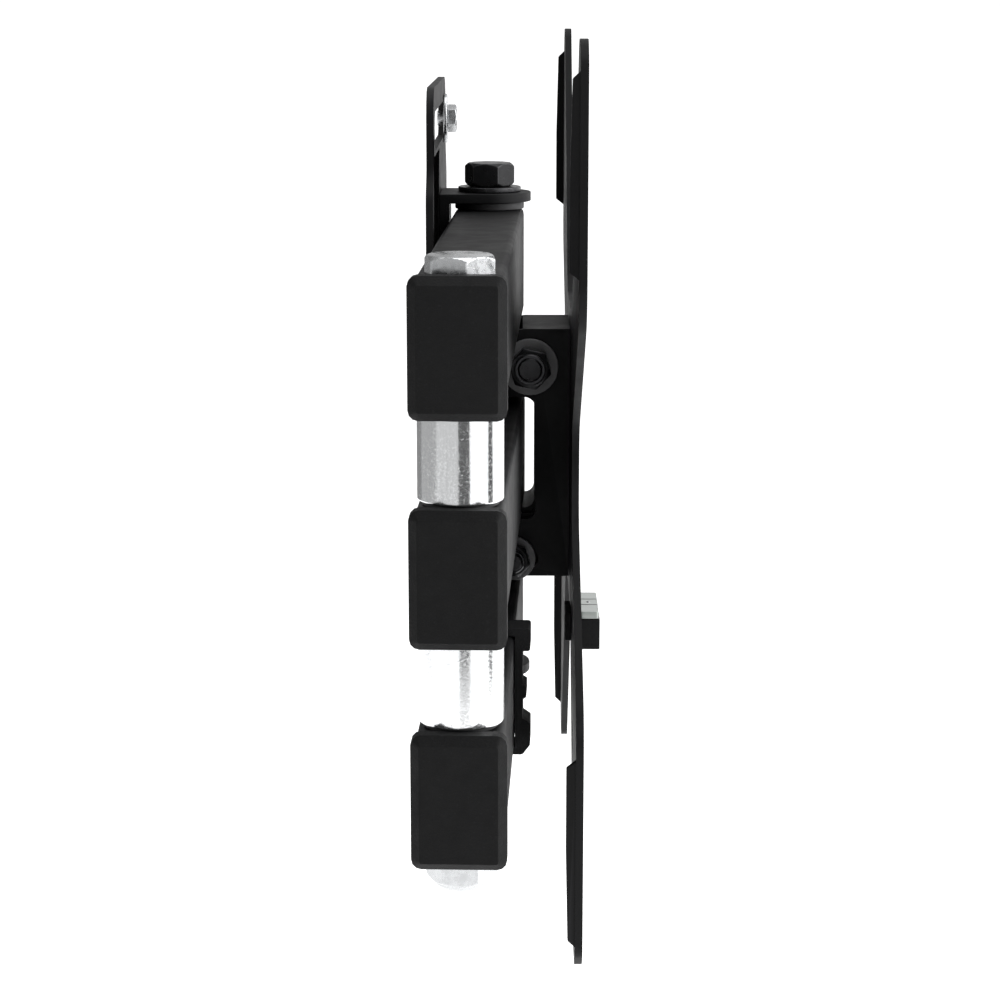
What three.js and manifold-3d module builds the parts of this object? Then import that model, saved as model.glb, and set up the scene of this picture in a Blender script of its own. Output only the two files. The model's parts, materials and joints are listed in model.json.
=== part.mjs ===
// Full motion TV wall mount, folded flat: a wall bracket, a double-tube wall arm, a single-tube
// TV arm between its tubes, a swivel bracket, a tilt head and a plate that the screen bolts to.
// Millimetres, +Z up. Y = 0 is the wall, the screen is toward -Y, the elbow is toward -X.
import * as THREE from 'three';
import { mergeVertices } from 'three/addons/utils/BufferGeometryUtils.js';
import Module from 'manifold-3d';

const wasm = await Module();
wasm.setup();

// ---- clearances
const seatGap = 0.2; // between two pieces that are clamped or welded face to face
const turnGap = 0.3; // around a shaft in its bore
const slideGap = 0.4; // between two pieces that turn against each other

// ---- wall bracket
const wallPlateThick = 3;
const wallPlateHalfWidth = 88;
const wallPlateHalfHeight = 155;
const wallTabHalfWidth = 78;
const wallTabShoulderLow = 112;
const wallTabShoulderHigh = 122;
const wallPlateCorner = 12;
const wallSlotHalfLength = 65;
const wallSlotHalfHeight = 8;
const wallSlotZ = 137;
const wallScrewX = 48;
const wallScrewRadius = 3.5;
const wallScrewHeadAcross = 11;
const wallScrewHeadHeight = 4;
const wallWasherRadius = 11;
const wallWasherThick = 1.6;
const flangeThick = 4;
const flangeOver = 3; // how far the flanges reach beyond the tubes
const wallRoom = 9.4; // wall face to the side of the tubes at the wall pivot

// ---- arms
const tubeWide = 30;
const tubeTall = 45;
const tubeWall = 2;
const tubeCorner = 2.5;
const tubeGap = 33; // between the stacked tubes
const wallArmLength = 250.1;
const wallArmAngle = -1.535; // degrees from the wall when folded
const headSetBack = 24.1; // how much shorter the TV arm is than the wall arm
const tvArmAngle = -1.85;
const tubeOverhang = 18.5; // elbow axis to the open end of a tube
const capOver = 1.5; // how far a cap stands proud of its tube
const capFront = 3.3; // thickness of a cap in front of its tube
const capSkirt = 5;
const capChamfer = 3;
const capCorner = 3.5;

// ---- pivots
const pivotRadius = 6; // M12
const pivotHeadAcross = 19;
const pivotHeadHeight = 10;
const pivotWasherRadius = 13.6;
const pivotWasherThick = 2;
const pivotThread = 42;
const bossRadius = 10;
const thrustThick = 3.1;
const elbowRadius = 7; // M14
const elbowHeadAcross = 22;
const elbowHeadHeight = 6.4;
const elbowNutHeight = 11;
const elbowDomeHeight = 3;
const elbowDomeRadius = 5.5;
const elbowTurn = 12.5;
const sleeveRoom = 2.7; // between a sleeve and the inner sides of its tube
const bushWall = 3;
const spacerInset = 0.2; // the spacers and washers are narrower than the tubes by these
const thinWasherThick = 1.2;
const thinWasherInset = 1.8;

// ---- swivel bracket: distances in front of, over or under the TV arm's tube
const webRoom = 4;
const webThick = 4;
const channelOver = 2;
const cheekThick = 3;
const cheekLap = 0.5; // how far a cheek laps onto the channel
const cheekForward = 12;
const cheekForwardLow = 7.5;
const cheekRise = 26.5;
const cheekDrop = 30.5;
const lobeRadius = 11;
const swivelHeadHeight = 7.5;
const swivelNutHeight = 7.2;

// ---- tilt head: distances in front of, over or under the same tube
const tiltBoltForward = 2;
const tiltBoltRise = 15.5;
const tiltBoltRadius = 5; // M10
const tiltNutAcross = 16;
const tiltNutHeight = 8;
const tiltWasherRadius = 12;
const tiltWasherThick = 1.6;
const lockBoltBack = 5;
const lockBoltDrop = 22.5;
const lockBoltRadius = 4; // M8
const lockNutAcross = 13;
const lockNutHeight = 6.5;
const lockWasherRadius = 9.6;
const tiltDown = 3.5; // degrees, the lower edge toward the wall
const tiltUp = 5;
const outerRise = 31.5;
const outerDrop = 30.5;
const outerLobe = 14;
const recessForward = 4.5;
const recessRise = 2.5;
const recessDrop = 5.5;
const backPlateThick = 3;
const backPlateForward = 18.9; // side of the tube to the face that the screen plate lies on

// ---- screen plate
const screenThick = 3;
const screenSideMargin = 12; // outermost holes to the edge of the plate
const screenEndMargin = 26;
const waistHalfWidth = 63;
const returnThick = 2.5; // edges of the legs that are folded back toward the wall
const returnDeep = 3.6;
const returnDeepTip = 2.8;
const foldCorner = 0.8;
const screenSlotHalfWidth = 2.9; // for M5 screws
const screenSlotHalfLength = 6.5;
const widePattern = 150; // half of the 300 mm hole pattern
const innerPatterns = [100, 50]; // half of the 200 and 100 mm hole patterns
const rollRadius = 4;
const rollHeadRadius = 6.8;
const rollNutAcross = 13;
const rollNutHeight = 3.2;
const levelX = -63.5;
const levelHalfWidth = 16.5;
const levelTop = -54;
const levelBottom = -70;
const levelProud = 8.2;
const levelWindow = 3;
const levelStemHalfX = 9;
const levelStemHalfZ = 3;
const levelClip = 2.6;

// ---- derived
const rad = THREE.MathUtils.degToRad;
const tubeHalf = tubeTall / 2;
const sideHalf = tubeWide / 2;
const tubePitch = tubeTall + tubeGap;
const wallPivotOut = sideHalf + wallRoom;
const flangeHalfWidth = sideHalf + flangeOver;
const tvArmLength = wallArmLength - headSetBack;
const spacerRadius = sideHalf - spacerInset;
const thinWasherRadius = sideHalf - thinWasherInset;
const webInside = sideHalf + webRoom;
const channelHalfWidth = sideHalf + channelOver;
const cheekInside = channelHalfWidth - cheekLap;
const cheekFront = sideHalf + cheekForward;
const cheekFrontLow = sideHalf + cheekForwardLow;
const cheekTop = tubeHalf + cheekRise;
const cheekBottom = -tubeHalf - cheekDrop;
const tiltBoltY = -sideHalf - tiltBoltForward;
const tiltBoltZ = tubeHalf + tiltBoltRise;
const lockBoltY = -sideHalf + lockBoltBack;
const lockBoltZ = -tubeHalf - lockBoltDrop;
const outerTop = tubeHalf + outerRise;
const outerBottom = -tubeHalf - outerDrop;
const recessFront = sideHalf + recessForward;
const recessTop = tubeHalf + recessRise;
const recessBottom = -tubeHalf - recessDrop;
const backPlateFront = sideHalf + backPlateForward;
const patterns = [widePattern, ...innerPatterns];
const screenHalfWidth = widePattern + screenSideMargin;
const screenHalfHeight = widePattern + screenEndMargin;
const upperTop = tubePitch + tubeHalf;
const upperBottom = tubePitch - tubeHalf;
const flangeLow = upperTop + thrustThick + slideGap;
const flangeHigh = flangeLow + flangeThick;
const wallPivot = new THREE.Vector2(0, -wallPivotOut);
const elbow = new THREE.Vector2(Math.cos(rad(wallArmAngle)), Math.sin(rad(wallArmAngle)))
  .multiplyScalar(-wallArmLength)
  .add(wallPivot);
const head = new THREE.Vector2(Math.cos(rad(tvArmAngle)), Math.sin(rad(tvArmAngle)))
  .multiplyScalar(tvArmLength)
  .add(elbow);
const channelInside = tubeHalf + thinWasherThick + slideGap;
const channelOutside = channelInside + flangeThick;

// ---- materials
const paint = [0x131314, 0.55, 0.5];
const plastic = [0x17181a, 0.8, 0];
const chrome = [0xd9dade, 0.16, 1];
const zinc = [0xc7c9cc, 0.32, 1];
const darkSteel = [0x1b1b1d, 0.4, 0.8];
const nylon = [0x2a2b2d, 0.7, 0];
const clearPlastic = [0xa9adae, 0.25, 0];

// ---- solids
function solidOf(geometry) {
  const bare = new THREE.BufferGeometry();
  const flat = geometry.index ? geometry.toNonIndexed() : geometry;
  bare.setAttribute('position', flat.getAttribute('position'));
  const merged = mergeVertices(bare, 1e-4);
  const corners = [];
  const index = merged.index.array;
  for (let i = 0; i < index.length; i += 3) {
    const [a, b, c] = [index[i], index[i + 1], index[i + 2]];
    if (a !== b && b !== c && c !== a) corners.push(a, b, c);
  }
  const data = {
    numProp: 3,
    vertProperties: Float32Array.from(merged.getAttribute('position').array),
    triVerts: Uint32Array.from(corners),
  };
  return new wasm.Manifold(new wasm.Mesh(data));
}

function joined(first, ...others) {
  return others.reduce((sum, other) => sum.add(other), first);
}

function cut(first, ...others) {
  return others.reduce((left, other) => left.subtract(other), first);
}

const root = new THREE.Group();

function piece(name, solid, look, group) {
  const data = solid.getMesh();
  const geometry = new THREE.BufferGeometry();
  geometry.setAttribute('position', new THREE.BufferAttribute(data.vertProperties, 3));
  geometry.setIndex(new THREE.BufferAttribute(data.triVerts, 1));
  const sharp = geometry.toNonIndexed();
  sharp.computeVertexNormals();
  const material = new THREE.MeshStandardMaterial({
    color: look[0],
    roughness: look[1],
    metalness: look[2],
  });
  const mesh = new THREE.Mesh(sharp, material);
  mesh.name = name;
  group.add(mesh);
}

// ---- outlines
function arc(x, y, r, from, to, steps) {
  const points = [];
  for (let i = 0; i <= steps; i++) {
    const a = rad(from + ((to - from) * i) / steps);
    points.push(new THREE.Vector2(x + r * Math.cos(a), y + r * Math.sin(a)));
  }
  return points;
}

function circle(r, x = 0, y = 0, steps = 28) {
  return arc(x, y, r, 0, 360, steps).slice(0, -1);
}

function hexagon(across, turn = 0) {
  return circle(across / 2 / Math.cos(Math.PI / 6), 0, 0, 6).map((p) =>
    p.rotateAround(new THREE.Vector2(), rad(turn)),
  );
}

function roundedBox(x0, x1, y0, y1, r, steps = 4) {
  return [
    ...arc(x1 - r, y1 - r, r, 0, 90, steps),
    ...arc(x0 + r, y1 - r, r, 90, 180, steps),
    ...arc(x0 + r, y0 + r, r, 180, 270, steps),
    ...arc(x1 - r, y0 + r, r, 270, 360, steps),
  ];
}

// A polygon with each corner rounded by its own radius: [x, y, radius].
function rounded(corners, steps = 5) {
  const points = [];
  corners.forEach(([x, y, r], i) => {
    const here = new THREE.Vector2(x, y);
    if (!r) {
      points.push(here);
      return;
    }
    const [px, py] = corners[(i + corners.length - 1) % corners.length];
    const [nx, ny] = corners[(i + 1) % corners.length];
    const back = new THREE.Vector2(px, py).sub(here).normalize();
    const on = new THREE.Vector2(nx, ny).sub(here).normalize();
    const half = Math.acos(THREE.MathUtils.clamp(back.dot(on), -1, 1)) / 2;
    const reach = r / Math.tan(half);
    const start = here.clone().addScaledVector(back, reach);
    const end = here.clone().addScaledVector(on, reach);
    const middle = here.clone().addScaledVector(back.clone().add(on).normalize(), r / Math.sin(half));
    const from = start.clone().sub(middle).angle();
    const turn = end.clone().sub(middle).angle() - from;
    const swing = turn - 2 * Math.PI * Math.round(turn / (2 * Math.PI));
    for (let k = 0; k <= steps; k++) {
      const a = from + (swing * k) / steps;
      points.push(new THREE.Vector2(middle.x + r * Math.cos(a), middle.y + r * Math.sin(a)));
    }
  });
  return points;
}

function extruded(outline, depth, holes = [], bevel = 0) {
  const shape = new THREE.Shape(outline);
  shape.holes = holes.map((hole) => new THREE.Path(hole));
  return new THREE.ExtrudeGeometry(shape, {
    depth: depth - 2 * bevel,
    bevelEnabled: bevel > 0,
    bevelThickness: bevel,
    bevelSize: bevel,
    bevelOffset: -bevel,
    bevelSegments: 1,
    steps: 1,
  }).translate(0, 0, bevel);
}

// Extrusions along Z of an outline in X and Y, along Y of one in X and Z, along X of one in Y and Z.
function alongZ(outline, z0, z1, holes, bevel) {
  return solidOf(extruded(outline, z1 - z0, holes, bevel).translate(0, 0, z0));
}

function alongY(outline, y0, y1, holes, bevel) {
  const geometry = extruded(outline, y1 - y0, holes, bevel);
  return solidOf(geometry.rotateX(Math.PI / 2).translate(0, y1, 0));
}

function alongX(outline, x0, x1, holes, bevel) {
  const turn = new THREE.Matrix4().makeBasis(
    new THREE.Vector3(0, 1, 0),
    new THREE.Vector3(0, 0, 1),
    new THREE.Vector3(1, 0, 0),
  );
  const geometry = extruded(outline, x1 - x0, holes, bevel);
  return solidOf(geometry.applyMatrix4(turn).translate(x0, 0, 0));
}

function turned(profile, steps = 32) {
  const points = profile.map(([r, z]) => new THREE.Vector2(r, z));
  return solidOf(new THREE.LatheGeometry(points, steps).rotateX(Math.PI / 2));
}

// A hexagon whose chosen ends are chamfered, standing from z0 to z1.
function hexSolid(across, z0, z1, turn, low, high) {
  const corner = across / 2 / Math.cos(Math.PI / 6);
  const bite = corner - across / 2;
  const slope = bite * 0.6;
  const profile = [
    [0, z0],
    [low ? across / 2 - 0.2 : corner + 1, z0],
    [corner + 1, z0 + (low ? slope + 0.6 : 0)],
    [corner + 1, z1 - (high ? slope + 0.6 : 0)],
    [high ? across / 2 - 0.2 : corner + 1, z1],
    [0, z1],
  ].filter((p, i, all) => !i || p[0] !== all[i - 1][0] || p[1] !== all[i - 1][1]);
  return alongZ(hexagon(across, turn), z0, z1).intersect(turned(profile, 36));
}

function placed(solid, x, y, z) {
  return solid.translate([x, y, z]);
}

// ---- wall bracket
const wallGroup = new THREE.Group();
root.add(wallGroup);

function wallPlate() {
  const outline = rounded([
    [wallPlateHalfWidth, wallTabShoulderLow, 8],
    [wallTabHalfWidth, wallTabShoulderHigh, 8],
    [wallTabHalfWidth, wallPlateHalfHeight, wallPlateCorner],
    [-wallTabHalfWidth, wallPlateHalfHeight, wallPlateCorner],
    [-wallTabHalfWidth, wallTabShoulderHigh, 8],
    [-wallPlateHalfWidth, wallTabShoulderLow, 8],
    [-wallPlateHalfWidth, -wallTabShoulderLow, 8],
    [-wallTabHalfWidth, -wallTabShoulderHigh, 8],
    [-wallTabHalfWidth, -wallPlateHalfHeight, wallPlateCorner],
    [wallTabHalfWidth, -wallPlateHalfHeight, wallPlateCorner],
    [wallTabHalfWidth, -wallTabShoulderHigh, 8],
    [wallPlateHalfWidth, -wallTabShoulderLow, 8],
  ], 3);
  const slots = [wallSlotZ, -wallSlotZ].map((z) =>
    roundedBox(
      -wallSlotHalfLength,
      wallSlotHalfLength,
      z - wallSlotHalfHeight,
      z + wallSlotHalfHeight,
      wallSlotHalfHeight - 0.01,
      6,
    ),
  );
  return alongY(outline, -wallPlateThick, 0, slots);
}

function wallBracket() {
  const back = -wallPlateThick - seatGap;
  const web = alongY(
    roundedBox(-flangeHalfWidth, flangeHalfWidth, -flangeHigh, flangeHigh, 1, 2),
    back - flangeThick,
    back,
  );
  const outline = [
    ...arc(wallPivot.x, wallPivot.y, flangeHalfWidth, 180, 360, 14),
    new THREE.Vector2(flangeHalfWidth, back),
    new THREE.Vector2(-flangeHalfWidth, back),
  ];
  const bore = circle(pivotRadius + turnGap, wallPivot.x, wallPivot.y);
  const flange = alongZ(outline, flangeLow, flangeHigh, [bore]);
  const lower = alongZ(outline, -flangeHigh, -flangeLow, [bore]);
  return joined(web, flange, lower);
}

piece('wall_plate', wallPlate(), paint, wallGroup);
piece('wall_bracket', wallBracket(), paint, wallGroup);

const screwGroup = new THREE.Group();
screwGroup.position.set(wallScrewX, -wallPlateThick - seatGap, wallSlotZ);
screwGroup.rotation.x = Math.PI / 2;
wallGroup.add(screwGroup);
const screwBottom = wallWasherThick + seatGap;
piece(
  'wall_screw_washer',
  alongZ(circle(wallWasherRadius, 0, 0, 24), 0, wallWasherThick, [
    circle(wallScrewRadius + turnGap, 0, 0, 16),
  ]),
  zinc,
  screwGroup,
);
piece(
  'wall_screw',
  joined(
    hexSolid(wallScrewHeadAcross, screwBottom, screwBottom + wallScrewHeadHeight, 20, false, true),
    alongZ(circle(wallScrewRadius, 0, 0, 16), -wallPlateThick, screwBottom + 1),
  ),
  zinc,
  screwGroup,
);

// The upper and lower pivots are the same parts, the lower ones turned over.
for (const [side, turn] of [['upper', 0], ['lower', Math.PI]]) {
  const pivot = new THREE.Group();
  pivot.position.set(wallPivot.x, wallPivot.y, 0);
  pivot.rotation.x = turn;
  wallGroup.add(pivot);
  const washerLow = flangeHigh + seatGap;
  const headLow = washerLow + pivotWasherThick + seatGap;
  piece(
    `wall_pivot_washer_${side}`,
    alongZ(circle(pivotWasherRadius), washerLow, washerLow + pivotWasherThick, [
      circle(pivotRadius + turnGap, 0, 0, 24),
    ]),
    darkSteel,
    pivot,
  );
  piece(
    `wall_pivot_bolt_${side}`,
    joined(
      hexSolid(pivotHeadAcross, headLow, headLow + pivotHeadHeight, 20, true, true),
      alongZ(circle(pivotRadius, 0, 0, 24), flangeHigh - pivotThread, headLow + 1),
    ),
    darkSteel,
    pivot,
  );
  piece(
    `wall_thrust_washer_${side}`,
    alongZ(circle(sideHalf), upperTop + slideGap / 2, upperTop + slideGap / 2 + thrustThick, [
      circle(pivotRadius + turnGap, 0, 0, 24),
    ]),
    nylon,
    pivot,
  );
}

// ---- arms
function tube(z, length, boreRadius, elbowBore) {
  const low = z - tubeHalf;
  const high = z + tubeHalf;
  const section = roundedBox(-sideHalf, sideHalf, low, high, tubeCorner, 3);
  const inner = roundedBox(
    -sideHalf + tubeWall,
    sideHalf - tubeWall,
    low + tubeWall,
    high - tubeWall,
    tubeCorner - tubeWall + 0.5,
    2,
  );
  const plan = (r) => [
    new THREE.Vector2(-tubeOverhang, r),
    new THREE.Vector2(-tubeOverhang, -r),
    ...arc(length, 0, r, -90, 90, 14),
  ];
  const innerPlan = plan(sideHalf - tubeWall).map((p) => (p.x < 0 ? p.setX(p.x - 1) : p));
  const outer = alongX(section, -tubeOverhang, length + sideHalf).intersect(
    alongZ(plan(sideHalf), low, high),
  );
  const hollow = alongX(inner, -tubeOverhang - 1, length + sideHalf).intersect(
    alongZ(innerPlan, low, high),
  );
  return cut(
    outer,
    hollow,
    alongZ(circle(boreRadius, length, 0), low - 1, high + 1),
    alongZ(circle(elbowBore, 0, 0), low - 1, high + 1),
  );
}

function cap(z) {
  const front = -tubeOverhang - capFront;
  const back = -tubeOverhang + capSkirt;
  const block = alongX(
    roundedBox(
      -sideHalf - capOver,
      sideHalf + capOver,
      z - tubeHalf - capOver,
      z + tubeHalf + capOver,
      capCorner,
      3,
    ),
    front,
    back + capChamfer,
    [],
    capChamfer,
  );
  const room = alongX(
    roundedBox(
      -sideHalf - seatGap,
      sideHalf + seatGap,
      z - tubeHalf - seatGap,
      z + tubeHalf + seatGap,
      tubeCorner,
      3,
    ),
    -tubeOverhang - seatGap,
    back + capChamfer + 1,
  );
  const end = alongX(roundedBox(-40, 40, z - 60, z + 60, 1, 1), back, back + capChamfer + 1);
  const plugEdge = tubeWall + turnGap;
  const plug = alongX(
    roundedBox(
      -sideHalf + plugEdge,
      sideHalf - plugEdge,
      z - tubeHalf + plugEdge,
      z + tubeHalf - plugEdge,
      2,
      2,
    ),
    -tubeOverhang - 1,
    back,
  );
  return joined(cut(block, room, end), plug);
}

function ring(outer, inner, z0, z1, steps = 28) {
  return alongZ(circle(outer, 0, 0, steps), z0, z1, [circle(inner, 0, 0, steps)]);
}

const wallArm = new THREE.Group();
wallArm.position.set(elbow.x, elbow.y, 0);
wallArm.rotation.z = rad(wallArmAngle);
root.add(wallArm);
const elbowBore = elbowRadius + turnGap;
const bossBore = bossRadius + seatGap;
const spacerLow = tubeHalf + thinWasherThick + 1.5 * slideGap;
const spacerHigh = upperBottom - thinWasherThick - 1.5 * slideGap;

for (const [side, sign] of [['upper', 1], ['lower', -1]]) {
  const z = sign * tubePitch;
  piece(`wall_arm_tube_${side}`, tube(z, wallArmLength, bossBore, elbowBore), paint, wallArm);
  piece(`wall_arm_cap_${side}`, cap(z), plastic, wallArm);
  piece(
    `wall_arm_boss_${side}`,
    placed(ring(bossRadius, pivotRadius + turnGap, z - tubeHalf, z + tubeHalf), wallArmLength, 0, 0),
    darkSteel,
    wallArm,
  );
  piece(
    `elbow_sleeve_${side}`,
    ring(
      sideHalf - tubeWall - sleeveRoom,
      elbowBore,
      z - tubeHalf + tubeWall + seatGap,
      z + tubeHalf - tubeWall - seatGap,
      24,
    ),
    zinc,
    wallArm,
  );
  const [low, high] = sign > 0 ? [spacerLow, spacerHigh] : [-spacerHigh, -spacerLow];
  piece(`elbow_spacer_${side}`, ring(spacerRadius, elbowBore, low, high, 48), chrome, wallArm);
  const inner = tubeHalf + slideGap / 2;
  const outer = upperBottom - slideGap / 2 - thinWasherThick;
  for (const [place, start] of [['inner', inner], ['outer', outer]]) {
    const bottom = sign > 0 ? start : -start - thinWasherThick;
    piece(
      `elbow_washer_${side}_${place}`,
      ring(thinWasherRadius, elbowBore, bottom, bottom + thinWasherThick),
      nylon,
      wallArm,
    );
  }
}

const elbowHeadLow = upperTop + seatGap;
const elbowNutTop = -upperTop - seatGap;
const elbowEnd = elbowNutTop - elbowNutHeight + 1;
piece(
  'elbow_bolt',
  joined(
    hexSolid(elbowHeadAcross, elbowHeadLow, elbowHeadLow + elbowHeadHeight, elbowTurn, false, true),
    alongZ(circle(elbowRadius), elbowEnd, elbowHeadLow + 1),
  ),
  zinc,
  wallArm,
);
piece(
  'elbow_nut',
  cut(
    joined(
      hexSolid(elbowHeadAcross, elbowNutTop - elbowNutHeight, elbowNutTop, 30, true, false),
      turned([
        [0, elbowNutTop - elbowNutHeight - elbowDomeHeight],
        [elbowDomeRadius, elbowNutTop - elbowNutHeight - elbowDomeHeight],
        [elbowHeadAcross / 2 - 1, elbowNutTop - elbowNutHeight],
        [elbowHeadAcross / 2 - 1, elbowNutTop - elbowNutHeight + 1],
        [0, elbowNutTop - elbowNutHeight + 1],
      ]),
    ),
    alongZ(circle(elbowRadius + turnGap), elbowEnd - turnGap, elbowNutTop + 1),
  ),
  zinc,
  wallArm,
);

// The clip hooks over the lower tube and keeps a cable along its screen side.
const clipX = 120;
const clipHalf = 7;
const clipThick = 3;
const clipHook = 6;
const clipLip = 3;
function cableClip() {
  const face = -sideHalf - turnGap;
  const top = -upperBottom + turnGap;
  const bottom = -upperTop - turnGap;
  const outline = rounded([
    [face + clipHook, top + clipThick, 1],
    [face - clipThick - clipLip, top + clipThick, 1],
    [face - clipThick - clipLip, top - clipHook, 1],
    [face - clipThick, top - clipHook, 0],
    [face - clipThick, -tubePitch + 3, 0],
    [face - clipThick - clipLip / 2, -tubePitch + 2, 0.5],
    [face - clipThick - clipLip / 2, -tubePitch - 2, 0.5],
    [face - clipThick, -tubePitch - 3, 0],
    [face - clipThick, bottom + 2 * clipHook, 0],
    [face - clipThick - clipLip, bottom + 2 * clipHook - 2, 1],
    [face - clipThick - clipLip, bottom + 1, 1],
    [face - clipThick, bottom - clipThick, 1.5],
    [face + clipHook, bottom - clipThick, 1],
    [face + clipHook, bottom, 0],
    [face, bottom, 0],
    [face, top, 0],
    [face + clipHook, top, 0],
  ], 3);
  return alongX(outline, clipX - clipHalf, clipX + clipHalf);
}
piece('cable_clip', cableClip(), plastic, wallArm);

const tvArm = new THREE.Group();
tvArm.position.set(elbow.x, elbow.y, 0);
tvArm.rotation.z = rad(tvArmAngle);
root.add(tvArm);
const bushOuter = elbowBore + bushWall;
piece('tv_arm_tube', tube(0, tvArmLength, bossBore, bushOuter + seatGap), paint, tvArm);
piece('tv_arm_cap', cap(0), plastic, tvArm);
piece('elbow_bush', ring(bushOuter, elbowBore, -tubeHalf, tubeHalf, 24), nylon, tvArm);
piece(
  'head_barrel',
  placed(ring(bossRadius, pivotRadius + turnGap, -tubeHalf, tubeHalf), tvArmLength, 0, 0),
  darkSteel,
  tvArm,
);

// ---- swivel bracket
const swivel = new THREE.Group();
swivel.position.set(head.x, head.y, 0);
root.add(swivel);

function swivelBracket() {
  const web = -webInside - webThick;
  const section = rounded([
    [10, channelOutside, 0],
    [web, channelOutside, 6],
    [web, -channelOutside, 6],
    [10, -channelOutside, 0],
    [10, -channelInside, 0],
    [-webInside, -channelInside, 4],
    [-webInside, channelInside, 4],
    [10, channelInside, 0],
  ]);
  const plan = [
    ...arc(0, 0, channelHalfWidth, 0, 180, 12),
    new THREE.Vector2(-channelHalfWidth, web),
    new THREE.Vector2(channelHalfWidth, web),
  ];
  const reach = alongX(
    section.map((p) => (p.x > 9 ? p.setX(channelHalfWidth + 1) : p)),
    -channelHalfWidth,
    channelHalfWidth,
  );
  const channel = cut(
    reach.intersect(alongZ(plan, -channelOutside, channelOutside)),
    alongZ(circle(pivotRadius + turnGap), -channelOutside - 1, channelOutside + 1),
  );
  const step = channelInside + 2;
  const side = rounded([
    [-cheekFront, cheekTop, 3],
    [tiltBoltY + lobeRadius, cheekTop, lobeRadius - 0.5],
    [tiltBoltY + lobeRadius, step, 3],
    [-webInside, step, 2],
    [-webInside, -step, 2],
    [lockBoltY + lobeRadius, -step, 3],
    [lockBoltY + lobeRadius, cheekBottom, 8],
    [-cheekFrontLow, cheekBottom, 3],
  ], 4);
  const holes = [
    circle(tiltBoltRadius + turnGap, tiltBoltY, tiltBoltZ, 20),
    circle(lockBoltRadius + turnGap, lockBoltY, lockBoltZ, 20),
  ];
  const outside = cheekInside + cheekThick;
  return joined(
    channel,
    alongX(side, cheekInside, outside, holes),
    alongX(side, -outside, -cheekInside, holes),
  );
}

piece('swivel_bracket', swivelBracket(), paint, swivel);
for (const [side, sign] of [['upper', 1], ['lower', -1]]) {
  const thin = sign * (tubeHalf + slideGap / 2);
  const thick = sign * (channelOutside + seatGap);
  const span = (start, size) => (sign > 0 ? [start, start + size] : [start - size, start]);
  piece(
    `swivel_thrust_washer_${side}`,
    ring(thinWasherRadius, pivotRadius + turnGap, ...span(thin, thinWasherThick)),
    nylon,
    swivel,
  );
  piece(
    `swivel_washer_${side}`,
    ring(pivotHeadAcross / 2 + 1.5, pivotRadius + turnGap, ...span(thick, tiltWasherThick), 24),
    darkSteel,
    swivel,
  );
}
const swivelSeat = channelOutside + 2 * seatGap + tiltWasherThick;
piece(
  'swivel_bolt',
  joined(
    hexSolid(pivotHeadAcross, swivelSeat, swivelSeat + swivelHeadHeight, 0, false, true),
    alongZ(circle(pivotRadius, 0, 0, 24), -swivelSeat - swivelNutHeight - 1, swivelSeat + 1),
  ),
  darkSteel,
  swivel,
);
piece(
  'swivel_nut',
  cut(
    hexSolid(pivotHeadAcross, -swivelSeat - swivelNutHeight, -swivelSeat, 0, true, true),
    alongZ(circle(pivotRadius + seatGap, 0, 0, 24), -80, 0),
  ),
  darkSteel,
  swivel,
);

// ---- tilt head
const tilt = new THREE.Group();
tilt.position.copy(swivel.position);
root.add(tilt);
const outerInside = cheekInside + cheekThick + slideGap;
const outerOutside = outerInside + cheekThick;
const lockReach = Math.hypot(lockBoltY - tiltBoltY, lockBoltZ - tiltBoltZ);
const lockAngle = THREE.MathUtils.radToDeg(Math.atan2(lockBoltZ - tiltBoltZ, lockBoltY - tiltBoltY));

function arcSlot() {
  const half = lockBoltRadius + turnGap;
  const spare = 1;
  const low = lockAngle - tiltDown - spare;
  const high = lockAngle + tiltUp + spare;
  const end = (a) => [
    tiltBoltY + lockReach * Math.cos(rad(a)),
    tiltBoltZ + lockReach * Math.sin(rad(a)),
  ];
  return [
    ...arc(tiltBoltY, tiltBoltZ, lockReach + half, low, high, 6),
    ...arc(...end(high), half, high, high + 180, 8).slice(1, -1),
    ...arc(tiltBoltY, tiltBoltZ, lockReach - half, high, low, 6),
    ...arc(...end(low), half, low + 180, low + 360, 8).slice(1, -1),
  ];
}

function tiltBracket() {
  const front = -backPlateFront;
  const back = front + backPlateThick;
  const side = rounded([
    [front, outerTop, 0],
    [tiltBoltY + outerLobe, outerTop, 12],
    [tiltBoltY + outerLobe, recessTop, 5],
    [-recessFront, recessTop, 5],
    [-recessFront, recessBottom, 4],
    [lockBoltY + outerLobe + 5, recessBottom, 8],
    [lockBoltY + outerLobe + 5, outerBottom, 8],
    [front, outerBottom, 0],
  ], 5);
  const holes = [circle(tiltBoltRadius + turnGap, tiltBoltY, tiltBoltZ, 20), arcSlot()];
  const plate = alongY(
    roundedBox(-outerOutside, outerOutside, outerBottom, outerTop, 0.5, 1),
    front,
    back,
    [circle(rollRadius + turnGap, 0, 0, 24)],
  );
  const top = alongZ(
    roundedBox(-outerOutside + 0.5, outerOutside - 0.5, front + 0.5, tiltBoltY + 3, 1, 1),
    outerTop - cheekThick,
    outerTop,
  );
  return joined(
    plate,
    top,
    alongX(side, outerInside, outerOutside, holes),
    alongX(side, -outerOutside, -outerInside, holes),
  );
}

piece('tilt_bracket', tiltBracket(), paint, tilt);

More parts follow.
